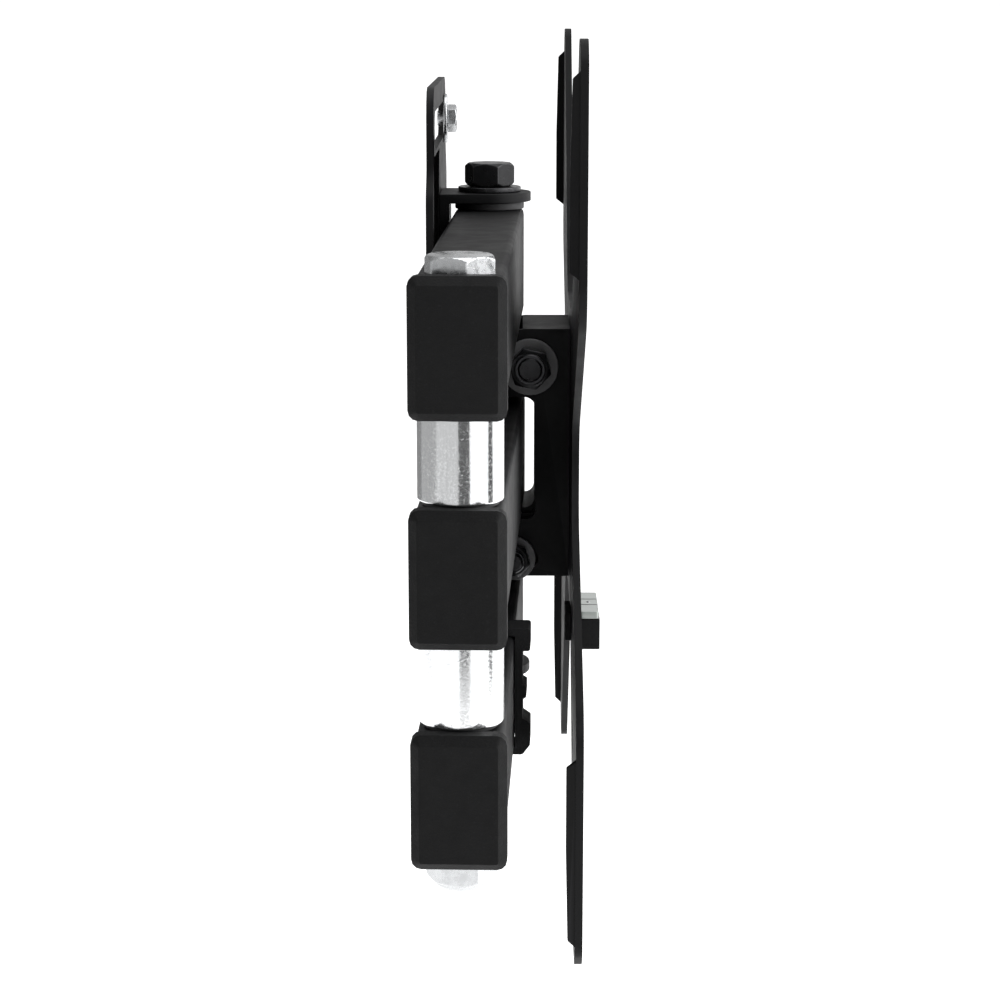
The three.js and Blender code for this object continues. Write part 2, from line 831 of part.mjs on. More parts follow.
// A bolt across both cheeks: a hex head on the far side, a nut on the side of the elbow.
function crossBolt(name, y, z, radius, across, nutHeight, washerRadius, group) {
  const bolt = new THREE.Group();
  bolt.position.set(head.x, head.y + y, z);
  bolt.rotation.y = -Math.PI / 2;
  group.add(bolt);
  const washer = outerOutside + seatGap;
  const seat = washer + tiltWasherThick + seatGap;
  const washerRing = (z0) => ring(washerRadius, radius + seatGap, z0, z0 + tiltWasherThick, 32);
  piece(`${name}_washer_near`, washerRing(washer), zinc, bolt);
  piece(`${name}_washer_far`, washerRing(-washer - tiltWasherThick), zinc, bolt);
  piece(
    `${name}_nut`,
    cut(
      joined(
        hexSolid(across, seat, seat + nutHeight - 1.5, 17, false, true),
        ring(across / 2 - 1.4, radius, seat + 1, seat + nutHeight, 32),
      ),
      alongZ(circle(radius + seatGap, 0, 0, 24), seat - 1, seat + nutHeight + 1),
    ),
    darkSteel,
    bolt,
  );
  piece(
    `${name}_bolt`,
    joined(
      hexSolid(across, -seat - nutHeight + 2, -seat, 17, true, false),
      alongZ(circle(radius, 0, 0, 24), -seat - 1, seat + nutHeight + 1.2, [], 0.8),
    ),
    darkSteel,
    bolt,
  );
}

crossBolt('tilt', tiltBoltY, tiltBoltZ, tiltBoltRadius, tiltNutAcross, tiltNutHeight,
  tiltWasherRadius, root);
crossBolt('tilt_lock', lockBoltY, lockBoltZ, lockBoltRadius, lockNutAcross, lockNutHeight,
  lockWasherRadius, root);

// ---- screen plate
const screen = new THREE.Group();
screen.position.copy(swivel.position);
root.add(screen);
const screenBack = -backPlateFront - seatGap;
const screenFront = screenBack - screenThick;

function mirrored(corners, signX, signZ) {
  const points = corners.map(([x, z, r]) => [signX * x, signZ * z, r]);
  return signX * signZ > 0 ? points : points.reverse();
}

const legLow = screenHalfHeight - 100;
const foldLow = legLow + 14;
const foldMiddle = screenHalfHeight - 50;
const foldHigh = screenHalfHeight - 10;

function screenOutline() {
  const quarter = [
    [waistHalfWidth, 18, 18],
    [screenHalfWidth, legLow, 22],
    [screenHalfWidth, screenHalfHeight - 8, 8],
    [screenHalfWidth - 8, screenHalfHeight, 8],
    [screenHalfWidth - 26, screenHalfHeight, 10],
    [46, 62, 20],
  ];
  return rounded([
    ...mirrored(quarter, 1, 1),
    ...mirrored(quarter, -1, 1),
    ...mirrored(quarter, -1, -1),
    ...mirrored(quarter, 1, -1),
  ], 4);
}

function slot(x, z) {
  return roundedBox(
    x - screenSlotHalfWidth,
    x + screenSlotHalfWidth,
    z - screenSlotHalfLength,
    z + screenSlotHalfLength,
    screenSlotHalfWidth - 0.01,
    3,
  );
}

const levelMiddle = (levelTop + levelBottom) / 2;

function levelBox(halfX, halfZ, corner) {
  return roundedBox(
    levelX - halfX,
    levelX + halfX,
    levelMiddle - halfZ,
    levelMiddle + halfZ,
    corner,
    2,
  );
}

function screenPlate() {
  const quarters = [[1, 1], [-1, 1], [-1, -1], [1, -1]];
  const holes = patterns.flatMap((half) => quarters.map(([sx, sz]) => slot(sx * half, sz * half)));
  holes.push(circle(rollRadius + turnGap, 0, 0, 24));
  holes.push(levelBox(levelStemHalfX + turnGap, levelStemHalfZ + turnGap, 1));
  const plate = alongY(screenOutline(), screenFront, screenBack, holes);
  const sink = turned([
    [0, -1],
    [rollHeadRadius + turnGap + 1, -1],
    [rollRadius + turnGap, rollHeadRadius - rollRadius],
    [0, rollHeadRadius - rollRadius],
  ]).rotate([-90, 0, 0]);
  const folds = quarters.map(([sx, sz]) => {
    const side = [
      [screenBack - 1, sz * foldLow],
      [screenBack + returnDeep, sz * (foldLow + returnDeep)],
      [screenBack + returnDeep, sz * foldMiddle],
      [screenBack + returnDeepTip, sz * (foldHigh - returnDeep)],
      [screenBack - 1, sz * foldHigh],
    ].map(([y, z], i) => [y, z, i % 2 ? foldCorner : 0]);
    const outline = rounded(sz > 0 ? side : side.reverse(), 3);
    const x1 = screenHalfWidth - seatGap;
    const x0 = x1 - returnThick;
    return sx > 0 ? alongX(outline, x0, x1) : alongX(outline, -x1, -x0);
  });
  const folded = joined(plate, ...folds);
  const drilled = patterns.flatMap((half) =>
    quarters.map(([sx, sz]) =>
      alongY(slot(sx * half, sz * half), screenFront - 1, screenBack + 1),
    ),
  );
  return cut(folded, placed(sink, 0, screenFront, 0), ...drilled);
}

piece('screen_plate', screenPlate(), paint, screen);

const rollNutSeat = -backPlateFront + backPlateThick + seatGap;
const rollEnd = rollNutSeat + rollNutHeight;
piece(
  'roll_bolt',
  joined(
    placed(
      turned([
        [0, 0],
        [rollHeadRadius, 0],
        [rollRadius, rollHeadRadius - rollRadius - seatGap],
        [0, rollHeadRadius - rollRadius - seatGap],
      ]).rotate([-90, 0, 0]),
      0,
      screenFront + seatGap,
      0,
    ),
    alongY(circle(rollRadius, 0, 0, 24), screenFront + 1, rollEnd),
  ),
  darkSteel,
  screen,
);
piece(
  'roll_nut',
  alongY(hexagon(rollNutAcross, 10), rollNutSeat, rollEnd, [circle(rollRadius + seatGap, 0, 0, 24)]),
  darkSteel,
  screen,
);

piece(
  'level_body',
  joined(
    alongY(
      roundedBox(
        levelX - levelHalfWidth,
        levelX + levelHalfWidth,
        levelBottom,
        levelTop - levelWindow - seatGap,
        1,
        2,
      ),
      screenFront - seatGap - levelProud,
      screenFront - seatGap,
    ),
    alongY(
      levelBox(levelStemHalfX, levelStemHalfZ, 0.8),
      screenFront - 1,
      screenBack + levelClip,
    ),
    alongY(
      levelBox(levelStemHalfX + 1.5, levelStemHalfZ + 3, 1),
      screenBack + seatGap,
      screenBack + levelClip,
    ),
  ),
  plastic,
  screen,
);
piece(
  'level_vial',
  alongZ(
    roundedBox(
      levelX - levelHalfWidth + 0.5,
      levelX + levelHalfWidth - 0.5,
      screenFront - seatGap - levelProud + 0.5,
      screenFront - seatGap - 0.3,
      1,
      3,
    ),
    levelTop - levelWindow,
    levelTop,
  ),
  clearPlastic,
  screen,
);

export default root;
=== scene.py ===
import json
import math

import bmesh
import bpy
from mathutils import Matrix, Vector

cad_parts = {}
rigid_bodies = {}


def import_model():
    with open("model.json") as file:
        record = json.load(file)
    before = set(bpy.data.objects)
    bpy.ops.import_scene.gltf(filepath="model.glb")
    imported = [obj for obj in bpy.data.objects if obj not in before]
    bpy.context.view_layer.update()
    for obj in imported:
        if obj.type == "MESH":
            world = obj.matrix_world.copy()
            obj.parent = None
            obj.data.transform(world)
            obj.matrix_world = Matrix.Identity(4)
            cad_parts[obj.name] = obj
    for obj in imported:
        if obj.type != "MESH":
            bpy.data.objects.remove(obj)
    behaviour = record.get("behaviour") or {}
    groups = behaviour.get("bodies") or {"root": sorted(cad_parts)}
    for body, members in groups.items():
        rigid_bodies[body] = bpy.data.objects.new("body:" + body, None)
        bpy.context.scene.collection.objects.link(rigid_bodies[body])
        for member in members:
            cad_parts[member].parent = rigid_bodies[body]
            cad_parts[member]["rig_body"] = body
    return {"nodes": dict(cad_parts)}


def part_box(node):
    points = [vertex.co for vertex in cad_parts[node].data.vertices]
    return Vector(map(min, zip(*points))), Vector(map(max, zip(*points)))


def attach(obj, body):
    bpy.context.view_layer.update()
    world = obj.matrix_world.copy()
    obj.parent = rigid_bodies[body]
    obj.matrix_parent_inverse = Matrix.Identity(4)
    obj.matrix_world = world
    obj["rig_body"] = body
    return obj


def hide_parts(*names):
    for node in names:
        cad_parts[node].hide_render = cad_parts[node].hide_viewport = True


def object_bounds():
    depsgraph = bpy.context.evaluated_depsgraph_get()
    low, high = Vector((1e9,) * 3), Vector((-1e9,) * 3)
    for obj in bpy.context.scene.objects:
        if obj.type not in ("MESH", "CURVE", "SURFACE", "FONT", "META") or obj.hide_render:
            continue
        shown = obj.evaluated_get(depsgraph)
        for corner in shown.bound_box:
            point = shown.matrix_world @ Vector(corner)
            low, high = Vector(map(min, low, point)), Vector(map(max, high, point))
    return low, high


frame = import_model()
NODES = frame["nodes"]
CAD_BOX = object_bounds()

bl_info = {
    "name": "Full Motion TV Wall Mount",
    "version": (1, 0, 0),
    "blender": (4, 5, 0),
    "location": "View3D > Sidebar > TV Mount",
    "description": "Finishes, fasteners and studio for a folding swing-arm wall mount",
    "category": "Object",
}

MM = 0.001
SUPPORT = 0.15 * MM  # a ring this far from a chamfer keeps the wall beside it flat

# Hexagons across their flats, and shank radii, of the bolts and nuts
ELBOW_ACROSS, ELBOW_SHANK = 22 * MM, 7 * MM
PIVOT_ACROSS, PIVOT_SHANK, PIVOT_HEAD = 19 * MM, 6 * MM, 10 * MM
TILT_SIZES = (("tilt", 16 * MM, 5 * MM), ("tilt_lock", 13 * MM, 4 * MM))
HEX_STEPS = 144
WELD_REACH = 0.02 * MM
SHARP_ANGLE = math.radians(28)
BEVEL_ANGLE = math.radians(32)

# How far each hexagon is turned: the elbow's are measured from the camera's bearing on the elbow
ELBOW_BEARING = 1.535
ELBOW_HEAD_TURN = math.radians(12.5 - ELBOW_BEARING) - math.pi / 6
ELBOW_NUT_TURN = -math.radians(30 - ELBOW_BEARING) - math.pi / 6
PIVOT_TURN = math.radians(-10)
TILT_TURN = math.radians(17 - 30)

# Softened edges, named for the piece that they were chosen on
CAP_EDGE = 0.7 * MM
VIAL_EDGE = 0.5 * MM
THRUST_EDGE = 0.4 * MM
CLIP_EDGE = 0.35 * MM
TUBE_EDGE = 0.3 * MM
SMALL_EDGE = 0.25 * MM
THIN_EDGE = 0.2 * MM

UP = Vector((0, 0, 1))
DOWN = Vector((0, 0, -1))
NEAR = Vector((-1, 0, 0))

CAMERA_WHITE = 1.05  # brightness of the white behind the mount, just over full
CARD_FOOT, CARD_HEAD = -0.52, 1.6
CARDS = (  # name, angle round the elbow, width as an angle, distance, grey
    ("front_flag", 11, 30, 1.6, 0.12),
    ("side_flag", 87, 16, 1.6, 0.1),
    ("left_flag_near", -30, 72, 1.9, 0.62),
    ("left_flag_middle", -95, 60, 1.9, 0.42),
    ("left_flag_far", -145, 44, 1.9, 0.26),
)


# ---- sizes and finishes


def colour_property(name, description, default):
    return bpy.props.FloatVectorProperty(
        name=name, description=description, subtype="COLOR", default=default, min=0, max=1
    )


def length_property(name, description, default, least=0.0):
    return bpy.props.FloatProperty(
        name=name, description=description, default=default, min=least, unit="LENGTH"
    )


class FinishSettings(bpy.types.PropertyGroup):
    """Colours and surface grain of the mount's finishes"""

    paint_colour: colour_property(
        "Powder coat", "Colour of the painted steel", (0.0035, 0.0035, 0.0038)
    )
    plastic_colour: colour_property(
        "End caps", "Colour of the moulded plastic", (0.0036, 0.0037, 0.0039)
    )
    oxide_colour: colour_property(
        "Black oxide", "Colour of the dark bolts, nuts and washers", (0.016, 0.016, 0.017)
    )
    zinc_colour: colour_property(
        "Zinc plate", "Colour of the bright bolts and washers", (0.56, 0.57, 0.58)
    )
    chrome_colour: colour_property(
        "Chrome", "Colour of the spacers at the elbow", (0.86, 0.87, 0.88)
    )
    edge_round: length_property(
        "Edge rounding", "Radius of the softened edges of sheet steel", 0.5 * MM
    )
    coat_grain: length_property(
        "Powder grain", "Size of the orange-peel texture in the powder coat", 0.9 * MM, 0.1 * MM
    )
    cap_grain: length_property(
        "Cap grain", "Size of the spark-eroded texture of the end caps", 0.55 * MM, 0.1 * MM
    )


class HardwareSettings(bpy.types.PropertyGroup):
    """Sizes of the details on bolts, nuts and the level"""

    thread_depth: length_property(
        "Thread depth", "Height of the thread on the bolt ends that show", 0.45 * MM
    )
    thread_pitch: length_property(
        "Thread pitch", "Distance between neighbouring threads", 1.25 * MM, 0.2 * MM
    )
    hex_crown: length_property(
        "Hexagon crown", "How far the turned chamfer of a hexagon drops at its corners", 1.6 * MM
    )
    bubble_length: length_property(
        "Bubble length", "Length of the air bubble in the level", 7 * MM, 1 * MM
    )


class StageSettings(bpy.types.PropertyGroup):
    """Camera, floor and lights"""

    camera_place: bpy.props.FloatVectorProperty(
        name="Camera place",
        description="Where the camera stands",
        subtype="TRANSLATION",
        unit="LENGTH",
        default=(-1.03, -0.0376, 0.19),
    )
    camera_pitch: bpy.props.FloatProperty(
        name="Camera pitch",
        description="How far the camera looks down",
        subtype="ANGLE",
        default=math.radians(12.04),
    )
    camera_yaw: bpy.props.FloatProperty(
        name="Camera yaw",
        description="How far the camera turns toward the wall",
        subtype="ANGLE",
        default=math.radians(0.48),
    )
    lens: bpy.props.FloatProperty(
        name="Lens",
        description="Focal length on a 36 mm sensor",
        subtype="DISTANCE_CAMERA",
        default=84.6,
        min=1,
    )
    floor_drop: length_property(
        "Floor drop", "Distance from the lowest point of the mount to the floor", 0.35
    )
    floor_size: length_property(
        "Floor size", "Half of the floor's width", 150.0, 1
    )
    floor_glow: bpy.props.FloatProperty(
        name="Floor glow",
        description="Light that the floor is lit with from outside the view",
        default=0.55,
        min=0,
    )
    world_strength: bpy.props.FloatProperty(
        name="Fill light",
        description="Strength of the even light all round",
        default=1.5,
        min=0,
    )
    key_power: bpy.props.FloatProperty(
        name="Key light",
        description="Power of the large soft light above",
        default=26.0,
        min=0,
    )


# ---- shader nodes


class Nodes:
    """Small helper that adds nodes to one node tree"""

    def __init__(self, tree):
        self.tree = tree

    def add(self, kind, **values):
        node = self.tree.nodes.new(kind)
        for key, value in values.items():
            setattr(node, key, value)
        return node

    def link(self, source, target):
        self.tree.links.new(source, target)
        return target

    def feed(self, value, socket):
        """Links another node's output, or sets a plain value"""
        if hasattr(value, "is_output"):
            self.link(value, socket)
        else:
            socket.default_value = value

    def math(self, operation, *values):
        node = self.add("ShaderNodeMath", operation=operation)
        for value, socket in zip(values, node.inputs):
            self.feed(value, socket)
        return node.outputs[0]

    def ramp(self, source, stops):
        node = self.add("ShaderNodeValToRGB")
        points = node.color_ramp.elements
        while len(points) < len(stops):
            points.new(0.5)
        for point, (place, colour) in zip(points, stops):
            point.position = place
            point.color = (*colour, 1)
        self.link(source, node.inputs["Fac"])
        return node.outputs["Color"]


class Shader(Nodes):
    """The nodes of one material"""

    def __init__(self, name):
        self.material = bpy.data.materials.new(name)
        self.material.use_nodes = True
        super().__init__(self.material.node_tree)
        self.surface = self.tree.nodes["Principled BSDF"]
        self.place = self.add("ShaderNodeTexCoord").outputs["Object"]

    def noise(self, size, detail=3, roughness=0.55, stretch=(1, 1, 1)):
        mapping = self.add("ShaderNodeMapping")
        mapping.inputs["Scale"].default_value = stretch
        self.link(self.place, mapping.inputs["Vector"])
        texture = self.add("ShaderNodeTexNoise")
        texture.inputs["Scale"].default_value = 1 / size
        texture.inputs["Detail"].default_value = detail
        texture.inputs["Roughness"].default_value = roughness
        self.link(mapping.outputs["Vector"], texture.inputs["Vector"])
        return texture.outputs["Fac"]

    def pits(self, size):
        texture = self.add("ShaderNodeTexVoronoi")
        texture.inputs["Scale"].default_value = 1 / size
        self.link(self.place, texture.inputs["Vector"])
        return texture.outputs["Distance"]

    def worn_edges(self):
        """1 on outward edges, 0 elsewhere"""
        sharp = self.add("ShaderNodeNewGeometry").outputs["Pointiness"]
        return self.ramp(sharp, [(0.52, (0, 0, 0)), (0.6, (1, 1, 1))])

    def mixed(self, factor, first, second):
        node = self.add("ShaderNodeMix", data_type="RGBA")
        colours = [socket for socket in node.inputs if socket.type == "RGBA"]
        for socket, value in zip(colours, (first, second)):
            self.feed((*value, 1) if isinstance(value, tuple) else value, socket)
        self.link(factor, node.inputs[0])
        return next(socket for socket in node.outputs if socket.type == "RGBA")

    def added(self, first, second, share):
        return self.math("MULTIPLY_ADD", second, share, first)

    def colour(self, source):
        self.link(source, self.surface.inputs["Base Color"])

    def rough(self, source, low, high, start=0.3, end=0.7):
        """Roughness that follows a pattern, from low to high"""
        spread = self.ramp(source, [(start, (low,) * 3), (end, (high,) * 3)])
        self.link(spread, self.surface.inputs["Roughness"])

    def bump(self, height, strength, distance):
        node = self.add("ShaderNodeBump")
        node.inputs["Strength"].default_value = strength
        node.inputs["Distance"].default_value = distance
        self.link(height, node.inputs["Height"])
        self.link(node.outputs["Normal"], self.surface.inputs["Normal"])

    def set(self, **values):
        for key, value in values.items():
            self.surface.inputs[key.replace("_", " ")].default_value = value


def scaled(colour, factor):
    return tuple(c * factor for c in colour)


def powder_coat(finish):
    """Fine orange-peel powder coat, a little lighter along rubbed edges"""
    shader = Shader("powder_coat")
    colour = tuple(finish.paint_colour)
    cloud = shader.noise(40 * MM, 4)
    body = shader.mixed(cloud, scaled(colour, 0.8), scaled(colour, 1.25))
    edge = shader.mixed(shader.worn_edges(), body, scaled(colour, 3.5))
    shader.colour(edge)
    shader.rough(shader.noise(12 * MM, 5), 0.46, 0.58)
    peel = shader.added(shader.noise(finish.coat_grain, 2), shader.noise(finish.coat_grain / 3, 2), 0.4)
    shader.bump(peel, 0.3, 0.12 * MM)
    shader.set(Specular_IOR_Level=0.14)
    return shader.material


def moulded_plastic(finish):
    """Black plastic with a spark-eroded grain and faint scuffs"""
    shader = Shader("moulded_plastic")
    colour = tuple(finish.plastic_colour)
    body = shader.mixed(shader.noise(18 * MM, 5, 0.65), scaled(colour, 0.75), scaled(colour, 1.4))
    speck = shader.ramp(shader.noise(1.1 * MM, 2), [(0.62, (0, 0, 0)), (0.72, (1, 1, 1))])
    body = shader.mixed(speck, body, scaled(colour, 2.0))
    edge = shader.mixed(shader.worn_edges(), body, scaled(colour, 3.0))
    shader.colour(edge)
    shader.rough(shader.noise(6 * MM, 4), 0.58, 0.72)
    grain = shader.added(shader.pits(finish.cap_grain), shader.noise(finish.cap_grain * 2, 3), 0.6)
    shader.bump(grain, 0.5, 0.15 * MM)
    shader.set(Specular_IOR_Level=0.16)
    return shader.material


def black_oxide(finish):
    """Oiled dark steel with lighter rubbed edges"""
    shader = Shader("black_oxide")
    colour = tuple(finish.oxide_colour)
    body = shader.mixed(shader.noise(5 * MM, 5, 0.7), scaled(colour, 0.6), scaled(colour, 1.7))
    edge = shader.mixed(shader.worn_edges(), body, scaled(colour, 5))
    shader.colour(edge)
    shader.rough(shader.noise(3 * MM, 4), 0.24, 0.42)
    shader.bump(shader.noise(1.2 * MM, 4), 0.25, 0.08 * MM)
    shader.set(Metallic=0.75)
    return shader.material


def zinc_plate(finish):
    """Bright plate with a hammered, slightly cloudy face"""
    shader = Shader("zinc_plate")
    colour = tuple(finish.zinc_colour)
    body = shader.mixed(shader.noise(4 * MM, 5, 0.7), scaled(colour, 0.9), scaled(colour, 1.1))
    shader.colour(body)
    shader.rough(shader.noise(2.5 * MM, 4), 0.16, 0.36)
    shader.bump(shader.noise(2.2 * MM, 3), 0.15, 0.12 * MM)
    shader.set(Metallic=1.0)
    return shader.material


def dull_plate(finish):
    """Grey phosphated washers, smooth and even"""
    shader = Shader("dull_plate")
    body = shader.mixed(shader.noise(6 * MM, 4), (0.1, 0.1, 0.103), (0.14, 0.14, 0.143))
    shader.colour(body)
    shader.rough(shader.noise(2 * MM, 4), 0.42, 0.55)
    shader.bump(shader.noise(0.8 * MM, 3), 0.2, 0.04 * MM)
    shader.set(Metallic=0.2)
    return shader.material


def bright_chrome(finish):
    """Chrome tube with fine draw lines along its length and dull specks"""
    shader = Shader("bright_chrome")
    colour = tuple(finish.chrome_colour)
    lines = shader.noise(0.8 * MM, 4, 0.6, (1, 1, 0.03))
    specks = shader.noise(0.9 * MM, 3, 0.6)
    body = shader.mixed(lines, scaled(colour, 0.9), scaled(colour, 1.08))
    shader.colour(body)
    shader.rough(specks, 0.1, 0.3, 0.45, 0.75)
    shader.bump(shader.added(lines, specks, 0.8), 0.3, 0.05 * MM)
    shader.set(Metallic=1.0)
    return shader.material


def dark_nylon(finish):
    """Slightly waxy dark washer plastic"""
    shader = Shader("dark_nylon")
    body = shader.mixed(shader.noise(3 * MM, 4), (0.012, 0.012, 0.013), (0.022, 0.022, 0.024))
    shader.colour(body)
    shader.bump(shader.noise(0.5 * MM, 3), 0.3, 0.06 * MM)
    shader.set(Roughness=0.6)
    return shader.material


def vial_liquid(finish):
    """Pale grey-green liquid behind clear plastic"""
    shader = Shader("vial_liquid")
    body = shader.mixed(shader.noise(9 * MM, 3), (0.30, 0.33, 0.31), (0.40, 0.43, 0.41))
    shader.colour(body)
    shader.set(Roughness=0.12, Coat_Weight=0.6)
    return shader.material


FINISHES = {}


def finish_of(name):
    makers = {
        "paint": powder_coat,
        "plastic": moulded_plastic,
        "oxide": black_oxide,
        "zinc": zinc_plate,
        "chrome": bright_chrome,
        "dull": dull_plate,
        "nylon": dark_nylon,
        "liquid": vial_liquid,
    }
    if name not in FINISHES:
        FINISHES[name] = makers[name](bpy.context.scene.mount_finish)
    return FINISHES[name]


# ---- frame nodes


def dress(node, finish, edge):
    """Gives a frame node its finish, softened edges and smooth shading"""
    obj = NODES[node]
    obj.data.materials.clear()
    obj.data.materials.append(finish_of(finish))
    obj.data.polygons.foreach_set("material_index", [0] * len(obj.data.polygons))
    obj.data.polygons.foreach_set("use_smooth", [True] * len(obj.data.polygons))
    weld = obj.modifiers.new("weld", "WELD")
    weld.merge_threshold = WELD_REACH
    if edge > 0:
        bevel = obj.modifiers.new("soft_edges", "BEVEL")
        bevel.width = edge
        bevel.segments = 2
        bevel.limit_method = "ANGLE"
        bevel.angle_limit = BEVEL_ANGLE
        bevel.harden_normals = True
    obj.modifiers.new("flat_faces", "WEIGHTED_NORMAL").keep_sharp = True


# ---- mesh building


def link(obj):
    bpy.context.scene.collection.objects.link(obj)
    return obj


def new_object(name, mesh, finish, body, *replaced):
    obj = link(bpy.data.objects.new(name, mesh))
    mesh.materials.append(finish_of(finish))
    mesh.polygons.foreach_set("use_smooth", [True] * len(mesh.polygons))
    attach(obj, body)
    if replaced:
        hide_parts(*replaced)
    return obj


def body_of(node):
    return NODES[node]["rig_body"]


def polar_mesh(name, place, axis, rings, steps, closed=False, turn=0.0):
    """A solid about an axis: each ring is (height, radius at an angle); closed makes a tube"""
    mesh = bpy.data.meshes.new(name)
    bm = bmesh.new()
    side, across = cross_frame(axis)
    loops = []
    for height, radius_at in rings:
        loop = []
        for i in range(steps):
            angle = 2 * math.pi * i / steps
            r = radius_at(angle - turn)
            spoke = side * (r * math.cos(angle)) + across * (r * math.sin(angle))
            loop.append(bm.verts.new(place + axis * height + spoke))
        loops.append(loop)
    pairs = list(zip(loops, loops[1:]))
    if closed:
        pairs.append((loops[-1], loops[0]))
    for low, high in pairs:
        for i in range(steps):
            j = (i + 1) % steps
            bm.faces.new((low[i], low[j], high[j], high[i]))
    if not closed:
        bm.faces.new(list(reversed(loops[0])))
        bm.faces.new(loops[-1])
    bmesh.ops.recalc_face_normals(bm, faces=bm.faces)
    for edge in bm.edges:
        edge.smooth = edge.calc_face_angle(0) < SHARP_ANGLE
    bm.to_mesh(mesh)
    bm.free()
    return mesh


def constant(radius):
    return lambda angle: radius


def hexagon_at(across):
    """Radius of a hexagon at an angle, a flat at angle zero"""

    def radius(angle):
        sector = (angle + math.pi / 6) % (math.pi / 3) - math.pi / 6
        return across / 2 / math.cos(sector)

    return radius


def crowned(across, cone):
    """A hexagon held inside a circle, as a turned chamfer leaves it"""
    flat = hexagon_at(across)
    return lambda angle: min(flat(angle), cone)


def centre(node):
    low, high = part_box(node)
    return (low + high) / 2


def profile_rings(points):
    return [(height, constant(radius)) for radius, height in points]


def cross_frame(axis):
    """The two directions across an axis: angles start at the first and turn to the second"""
    if abs(axis.x) > 0.9:
        return Vector((0, 0, 1)), axis.cross(Vector((0, 0, 1)))
    return Vector((1, 0, 0)), axis.cross(Vector((1, 0, 0)))


def turned_piece(name, node, finish, axis, start, rings, steps=96, closed=False, turn=0.0):
    """A piece about the axis through a frame node's middle, which stands for that node"""
    place = centre(node)
    place -= axis * place.dot(axis)
    mesh = polar_mesh(name, place + axis * start, axis, rings, steps, closed, turn)
    return new_object(name, mesh, finish, body_of(node), node)


def hex_rings(across, height, crown, low=False, high=True, corner=0.5 * MM):
    """Rings of a hexagon from 0 to height, with turned chamfers at the chosen ends"""
    flat = across / 2
    full = flat / math.cos(math.pi / 6)
    count = 7
    rings = []

    def chamfer(share):
        return crowned(across, flat - corner + (full - flat + corner) * share)

    if low:
        rings += [(crown * i / count, chamfer((i / count) ** 0.8)) for i in range(count + 1)]
        rings.append((crown + SUPPORT, hexagon_at(across)))
    else:
        rings.append((0, hexagon_at(across)))
    if high:
        rings.append((height - crown - SUPPORT, hexagon_at(across)))
        rings += [
            (height - crown * (1 - i / count), chamfer((1 - i / count) ** 0.8))
            for i in range(count + 1)
        ]
    else:
        rings.append((height, hexagon_at(across)))
    return rings


def raised(rings, lift):
    return [(height + lift, radius) for height, radius in rings]


def thread_rings(radius, start, end, depth, pitch):
    """Rings of a threaded bolt end with a rounded tip"""
    per_turn = 8
    count = max(4, round((end - start) / pitch * per_turn))

    def at(height):
        fade = min(1.0, (end - height) / pitch)

        def groove(angle):
            phase = (height / pitch - angle / (2 * math.pi)) % 1
            return radius - depth * (1 - abs(2 * phase - 1)) - (1 - fade) * depth

        return groove

    return [
        (start + (end - start) * i / count, at(start + (end - start) * i / count))
        for i in range(count + 1)
    ]


# ---- operators


class MOUNT_OT_painted_steel(bpy.types.Operator):
    """Powder coat on the plates, brackets and tubes"""

    bl_idname = "mount.painted_steel"
    bl_label = "Painted Steel"

    def execute(self, context):
        edge = context.scene.mount_finish.edge_round
        for node in ("wall_plate", "wall_bracket", "swivel_bracket", "tilt_bracket", "screen_plate"):
            dress(node, "paint", edge)
        for node in ("wall_arm_tube_upper", "wall_arm_tube_lower", "tv_arm_tube"):
            dress(node, "paint", TUBE_EDGE)
        return {"FINISHED"}


class MOUNT_OT_end_caps(bpy.types.Operator):
    """Textured plastic on the end caps and the cable clip"""

    bl_idname = "mount.end_caps"
    bl_label = "End Caps and Clip"

    def execute(self, context):
        for node in ("wall_arm_cap_upper", "tv_arm_cap", "wall_arm_cap_lower"):
            dress(node, "plastic", CAP_EDGE)
        dress("cable_clip", "plastic", CLIP_EDGE)
        return {"FINISHED"}


class MOUNT_OT_spacers(bpy.types.Operator):
    """Chrome spacers between the three tubes at the elbow"""

    bl_idname = "mount.spacers"
    bl_label = "Chrome Spacers"

    def execute(self, context):
        chamfer = 0.5 * MM
        bore = 8.2 * MM
        eased = chamfer * 0.3
        for side in ("upper", "lower"):
            node = f"elbow_spacer_{side}"
            low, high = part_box(node)
            radius = (high.x - low.x) / 2
            height = high.z - low.z
            rings = profile_rings([
                (bore, 0),
                (radius - chamfer, 0),
                (radius - eased, eased),
                (radius, chamfer),
                (radius, chamfer + SUPPORT),
                (radius, height - chamfer - SUPPORT),
                (radius, height - chamfer),
                (radius - eased, height - eased),
                (radius - chamfer, height),
                (bore, height),
            ])
            turned_piece(f"chrome_spacer_{side}", node, "chrome", UP, low.z, rings, 128, True)
        return {"FINISHED"}


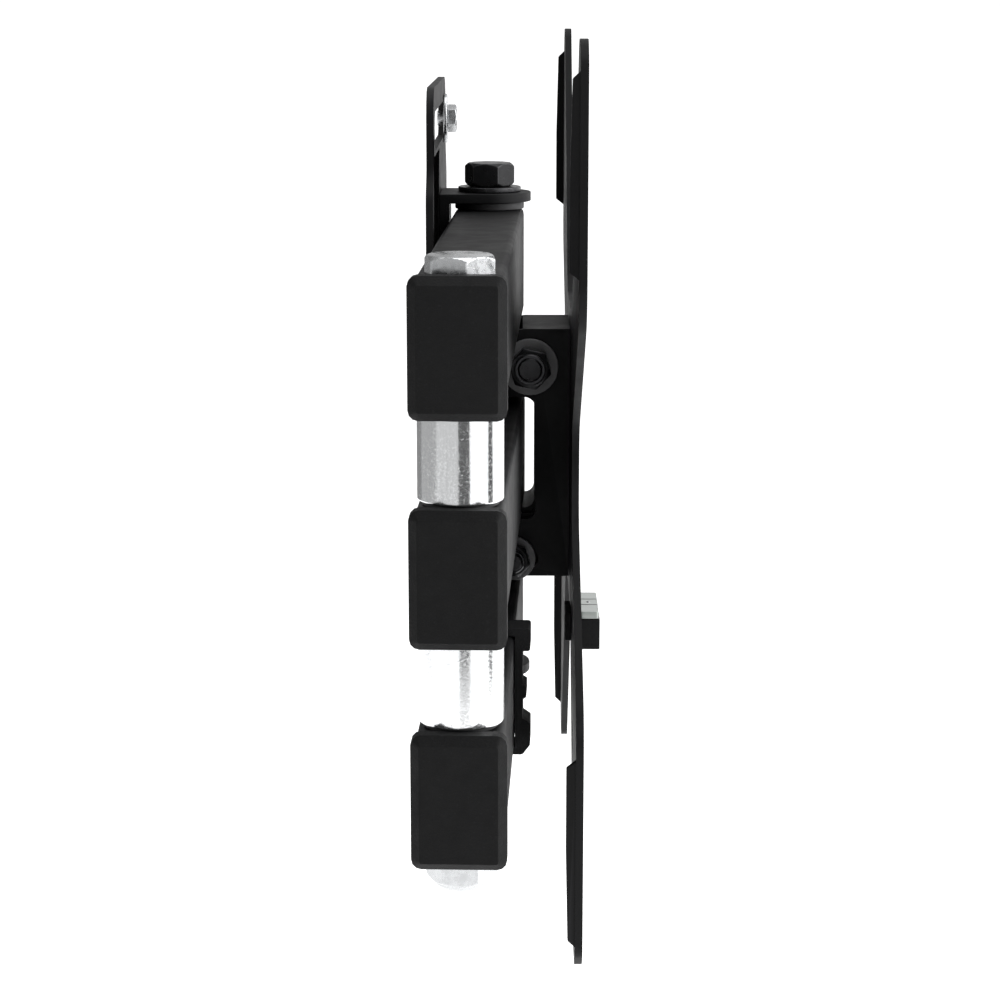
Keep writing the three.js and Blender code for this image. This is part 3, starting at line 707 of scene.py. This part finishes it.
class MOUNT_OT_elbow_hardware(bpy.types.Operator):
    """Bright hex bolt through the elbow and its domed lock nut"""

    bl_idname = "mount.elbow_hardware"
    bl_label = "Elbow Bolt and Nut"

    def execute(self, context):
        across, shank = ELBOW_ACROSS, ELBOW_SHANK
        crown = context.scene.mount_hardware.hex_crown
        low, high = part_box("elbow_bolt")
        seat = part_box("wall_arm_tube_upper")[1].z + 0.2 * MM
        under = seat - low.z
        rings = profile_rings([(shank - 1 * MM, 0), (shank, 1 * MM), (shank, under)])
        rings += raised(hex_rings(across, high.z - seat, crown), under)
        turned_piece(
            "elbow_hex_bolt", "elbow_bolt", "zinc", UP, low.z, rings, HEX_STEPS, turn=ELBOW_HEAD_TURN
        )

        low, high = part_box("elbow_nut")
        dome_low = 3 * MM
        hex_height = high.z - low.z - dome_low
        bore = shank + 0.3 * MM
        hexagon = hex_rings(across, hex_height, crown)
        start = across / 2 - 1 * MM
        end = 5.5 * MM
        dome = [
            (hex_height + dome_low * math.sin(a), constant(end + (start - end) * math.cos(a)))
            for a in (math.pi / 2 * i / 6 for i in range(7))
        ]
        inner_top = hex_height - 1 * MM
        blind = profile_rings([(0.05 * MM, inner_top + 0.2 * MM), (bore, inner_top), (bore, 0)])
        turned_piece(
            "elbow_dome_nut",
            "elbow_nut",
            "zinc",
            DOWN,
            -high.z,
            blind + hexagon + dome,
            HEX_STEPS,
            turn=ELBOW_NUT_TURN,
        )
        return {"FINISHED"}


class MOUNT_OT_dark_hardware(bpy.types.Operator):
    """Black bolts, nuts and washers of the wall pivots, the head and the plate"""

    bl_idname = "mount.dark_hardware"
    bl_label = "Black Bolts and Nuts"

    def execute(self, context):
        crown = context.scene.mount_hardware.hex_crown
        radius = PIVOT_SHANK
        for side, axis in (("upper", UP), ("lower", DOWN)):
            dress(f"wall_pivot_washer_{side}", "oxide", TUBE_EDGE)
            dress(f"wall_arm_boss_{side}", "oxide", 0)
            dress(f"swivel_washer_{side}", "oxide", SMALL_EDGE)
            low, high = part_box(f"wall_pivot_bolt_{side}")
            under = high.z - low.z - PIVOT_HEAD
            start = low.z if side == "upper" else -high.z
            rings = profile_rings([(radius - 0.8 * MM, 0), (radius, 0.8 * MM), (radius, under)])
            rings += raised(hex_rings(PIVOT_ACROSS, PIVOT_HEAD, crown, True), under)
            turned_piece(
                f"wall_pivot_hex_{side}",
                f"wall_pivot_bolt_{side}",
                "oxide",
                axis,
                start,
                rings,
                HEX_STEPS,
                turn=PIVOT_TURN,
            )
        for node in ("head_barrel", "roll_bolt", "swivel_bolt", "swivel_nut", "roll_nut"):
            dress(node, "oxide", SMALL_EDGE)
        return {"FINISHED"}


class MOUNT_OT_tilt_hardware(bpy.types.Operator):
    """Bolts, lock nuts and light washers that clamp the tilt"""

    bl_idname = "mount.tilt_hardware"
    bl_label = "Tilt Bolts"

    def execute(self, context):
        hardware = context.scene.mount_hardware
        crown = hardware.hex_crown * 0.8
        for name, across, radius in TILT_SIZES:
            for end in ("near", "far"):
                dress(f"{name}_washer_{end}", "dull", TUBE_EDGE)
            low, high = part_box(f"{name}_nut")
            height = high.x - low.x
            collar = across / 2 - 1.4 * MM
            bore = radius + 0.2 * MM
            rings = profile_rings([(bore, 0)]) + hex_rings(across, height - 1.5 * MM, crown)
            rings += profile_rings([
                (collar, height - 1.5 * MM),
                (collar, height - 0.5 * MM),
                (collar - 0.5 * MM, height),
                (bore, height),
            ])
            turned_piece(
                f"{name}_lock_nut", f"{name}_nut", "oxide", NEAR, -high.x, rings, HEX_STEPS, True, TILT_TURN
            )
            low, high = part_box(f"{name}_bolt")
            length = high.x - low.x
            head = height - 2 * MM
            thread = 6 * MM
            rings = hex_rings(across, head, crown, True, False)
            rings += profile_rings([(radius, head), (radius, length - thread)])
            rings += thread_rings(
                radius,
                length - thread + 0.01 * MM,
                length,
                hardware.thread_depth,
                hardware.thread_pitch,
            )
            turned_piece(
                f"{name}_hex_bolt", f"{name}_bolt", "oxide", NEAR, -high.x, rings, turn=TILT_TURN
            )
        return {"FINISHED"}


class MOUNT_OT_bright_hardware(bpy.types.Operator):
    """Silver wall screw with its washer, and the sleeves inside the elbow"""

    bl_idname = "mount.bright_hardware"
    bl_label = "Wall Screw and Sleeves"

    def execute(self, context):
        dress("wall_screw", "zinc", TUBE_EDGE)
        dress("wall_screw_washer", "zinc", TUBE_EDGE)
        for side in ("upper", "lower"):
            dress(f"elbow_sleeve_{side}", "zinc", 0)
        return {"FINISHED"}


class MOUNT_OT_washers(bpy.types.Operator):
    """Dark nylon washers and the elbow bush"""

    bl_idname = "mount.washers"
    bl_label = "Nylon Washers"

    def execute(self, context):
        for side in ("upper", "lower"):
            dress(f"wall_thrust_washer_{side}", "nylon", THRUST_EDGE)
            dress(f"swivel_thrust_washer_{side}", "nylon", THIN_EDGE)
            for place in ("inner", "outer"):
                dress(f"elbow_washer_{side}_{place}", "nylon", THIN_EDGE)
        dress("elbow_bush", "nylon", THIN_EDGE)
        return {"FINISHED"}


class MOUNT_OT_level(bpy.types.Operator):
    """Bubble level on the screen plate, with its bubble and its two marks"""

    bl_idname = "mount.level"
    bl_label = "Bubble Level"

    def execute(self, context):
        length = context.scene.mount_hardware.bubble_length
        dress("level_body", "plastic", THRUST_EDGE)
        dress("level_vial", "liquid", VIAL_EDGE)
        low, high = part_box("level_vial")
        middle = (low + high) / 2
        radius = (high.y - low.y) * 0.28
        body = body_of("level_vial")
        rings = [
            (length / 2 * (1 - math.cos(a)), constant(max(1e-5, radius * math.sin(a))))
            for a in (math.pi * i / 12 for i in range(13))
        ]
        along = Vector((1, 0, 0))
        start = Vector((middle.x - length / 2, middle.y, high.z - radius * 0.9))
        bubble = polar_mesh("level_bubble", start, along, rings, 32)
        new_object("level_bubble", bubble, "zinc", body)
        for side, sign in (("left", -1), ("right", 1)):
            x = middle.x + sign * (length / 2 + 1 * MM)
            half_y = (high.y - low.y) / 2 - 0.2 * MM
            mark = bar_mesh(
                f"level_mark_{side}",
                Vector((x - 0.25 * MM, middle.y - half_y, high.z - 0.1 * MM)),
                Vector((x + 0.25 * MM, middle.y + half_y, high.z + 0.08 * MM)),
            )
            new_object(f"level_mark_{side}", mark, "nylon", body)
        return {"FINISHED"}


class MOUNT_OT_stage(bpy.types.Operator):
    """Floor, camera and soft studio light"""

    bl_idname = "mount.stage"
    bl_label = "Stage"

    def execute(self, context):
        stage = context.scene.mount_stage
        make_camera(stage)
        make_floor(stage)
        make_world(stage)
        make_lights(stage)
        return {"FINISHED"}


def bar_mesh(name, low, high):
    """A bar with softened long edges"""
    mesh = bpy.data.meshes.new(name)
    bm = bmesh.new()
    bmesh.ops.create_cube(bm, size=1)
    size = high - low
    bmesh.ops.scale(bm, vec=size, verts=bm.verts)
    bmesh.ops.translate(bm, vec=(low + high) / 2, verts=bm.verts)
    bmesh.ops.bevel(bm, geom=bm.edges[:], offset=min(size) * 0.2, segments=2, affect="EDGES")
    bm.to_mesh(mesh)
    bm.free()
    return mesh


def make_camera(stage):
    data = bpy.data.cameras.new("camera")
    data.lens = stage.lens
    data.sensor_width = 36
    data.clip_start = 0.01
    data.clip_end = 200
    camera = link(bpy.data.objects.new("camera", data))
    camera.location = stage.camera_place
    pitch, yaw = stage.camera_pitch, stage.camera_yaw
    forward = Vector((
        math.cos(pitch) * math.cos(yaw),
        math.cos(pitch) * math.sin(yaw),
        -math.sin(pitch),
    ))
    camera.rotation_mode = "QUATERNION"
    camera.rotation_quaternion = forward.to_track_quat("-Z", "Y")
    bpy.context.scene.camera = camera


def plain_material(name, colour, roughness, glow, strength):
    """An even stage material that also gives off light"""
    shader = Shader(name)
    body = shader.mixed(shader.noise(0.4, 2), scaled(colour, 0.995), colour)
    shader.colour(body)
    shader.set(Roughness=roughness, Specular_IOR_Level=0.1, Emission_Color=glow, Emission_Strength=strength)
    return shader.material


def make_floor(stage):
    half = stage.floor_size
    z = CAD_BOX[0].z - stage.floor_drop
    mesh = bpy.data.meshes.new("floor")
    corners = [(-half, -half, z), (half, -half, z), (half, half, z), (-half, half, z)]
    mesh.from_pydata(corners, [], [(0, 1, 2, 3)])
    mesh.materials.append(plain_material("pale_floor", (0.95,) * 3, 0.9, (1, 1, 1, 1), stage.floor_glow))
    link(bpy.data.objects.new("floor", mesh))


def make_world(stage):
    """Even white behind everything, which lights the mount mostly from the screen side"""
    world = bpy.data.worlds.new("studio")
    bpy.context.scene.world = world
    world.use_nodes = True
    nodes = Nodes(world.node_tree)

    def brightness(source, stops):
        """Brightness along one axis, from its plus end at 0 to its minus end at 1"""
        half_way = nodes.math("MULTIPLY_ADD", source, -0.5, 0.5)
        return nodes.ramp(half_way, [(place, (shade,) * 3) for place, shade in stops])

    split = nodes.add("ShaderNodeSeparateXYZ")
    nodes.link(nodes.add("ShaderNodeTexCoord").outputs["Generated"], split.inputs[0])
    side = brightness(split.outputs["Y"], [(0.0, 0.2), (0.45, 0.3), (0.7, 0.85), (1.0, 1.0)])
    front = brightness(split.outputs["X"], [(0.0, 1.0), (0.85, 1.0), (0.96, 0.12), (1.0, 0.12)])
    lit = nodes.math("MULTIPLY", nodes.math("MULTIPLY", side, front), stage.world_strength)
    strength = nodes.add("ShaderNodeMix", data_type="FLOAT")
    nodes.link(nodes.add("ShaderNodeLightPath").outputs["Is Camera Ray"], strength.inputs[0])
    nodes.link(lit, strength.inputs[2])
    strength.inputs[3].default_value = CAMERA_WHITE
    background = world.node_tree.nodes["Background"]
    background.inputs["Color"].default_value = (1, 1, 1, 1)
    nodes.link(strength.outputs[0], background.inputs["Strength"])


def area_light(name, place, target, size, power):
    data = bpy.data.lights.new(name, "AREA")
    data.shape = "RECTANGLE"
    data.size, data.size_y = size
    data.energy = power
    light = link(bpy.data.objects.new(name, data))
    light.location = place
    light.rotation_mode = "QUATERNION"
    light.rotation_quaternion = (Vector(target) - Vector(place)).to_track_quat("-Z", "Y")


def flag_card(name, centre_angle, width_angle, distance, shade):
    """A card that only mirrors see, at an angle round the elbow from -X toward -Y"""
    elbow = centre("elbow_bolt")
    a = math.radians(centre_angle)
    out = Vector((-math.cos(a), -math.sin(a), 0))
    across = Vector((-out.y, out.x, 0)) * (distance * math.tan(math.radians(width_angle / 2)))
    middle = Vector((elbow.x, elbow.y, 0)) + out * distance
    low, high = Vector((0, 0, CARD_FOOT)), Vector((0, 0, CARD_HEAD))
    left, right = middle - across, middle + across
    mesh = bpy.data.meshes.new(name)
    mesh.from_pydata([left + low, right + low, right + high, left + high], [], [(0, 1, 2, 3)])
    mesh.materials.append(plain_material(name, (0, 0, 0), 1.0, (shade, shade, shade, 1), 1.0))
    card = link(bpy.data.objects.new(name, mesh))
    card.visible_camera = False
    card.visible_diffuse = False
    card.visible_shadow = False


def make_lights(stage):
    area_light("key", (-0.35, -1.5, 0.7), (-0.15, 0, 0), (1.2, 1.6), stage.key_power)
    area_light("top", (0.2, 0.1, 1.8), (0, 0, 0), (1.2, 1.2), stage.key_power * 0.3)
    for card in CARDS:
        flag_card(*card)


# ---- panel and registration

OPERATORS = (
    MOUNT_OT_painted_steel,
    MOUNT_OT_end_caps,
    MOUNT_OT_spacers,
    MOUNT_OT_elbow_hardware,
    MOUNT_OT_dark_hardware,
    MOUNT_OT_tilt_hardware,
    MOUNT_OT_bright_hardware,
    MOUNT_OT_washers,
    MOUNT_OT_level,
    MOUNT_OT_stage,
)


class MOUNT_PT_panel(bpy.types.Panel):
    """Lists the steps that finish the mount"""

    bl_idname = "MOUNT_PT_panel"
    bl_label = "TV Mount"
    bl_space_type = "VIEW_3D"
    bl_region_type = "UI"
    bl_category = "TV Mount"

    def draw(self, context):
        for operator in OPERATORS:
            self.layout.operator(operator.bl_idname)
        for settings in ("mount_finish", "mount_hardware", "mount_stage"):
            group = getattr(context.scene, settings)
            for name in group.bl_rna.properties.keys():
                if name not in ("rna_type", "name"):
                    self.layout.prop(group, name)


CLASSES = (FinishSettings, HardwareSettings, StageSettings, *OPERATORS, MOUNT_PT_panel)


def register():
    for item in CLASSES:
        bpy.utils.register_class(item)
    bpy.types.Scene.mount_finish = bpy.props.PointerProperty(type=FinishSettings)
    bpy.types.Scene.mount_hardware = bpy.props.PointerProperty(type=HardwareSettings)
    bpy.types.Scene.mount_stage = bpy.props.PointerProperty(type=StageSettings)


def unregister():
    del bpy.types.Scene.mount_stage
    del bpy.types.Scene.mount_hardware
    del bpy.types.Scene.mount_finish
    for item in reversed(CLASSES):
        bpy.utils.unregister_class(item)


def main():
    register()
    for obj in list(bpy.data.objects):
        if obj.name in ("Cube", "Light", "Camera"):
            bpy.data.objects.remove(obj)
    bpy.context.scene.view_settings.view_transform = "Standard"
    bpy.ops.mount.painted_steel()
    bpy.ops.mount.end_caps()
    bpy.ops.mount.spacers()
    bpy.ops.mount.elbow_hardware()
    bpy.ops.mount.dark_hardware()
    bpy.ops.mount.tilt_hardware()
    bpy.ops.mount.bright_hardware()
    bpy.ops.mount.washers()
    bpy.ops.mount.level()
    bpy.ops.mount.stage()


if __name__ == "__main__":
    main()
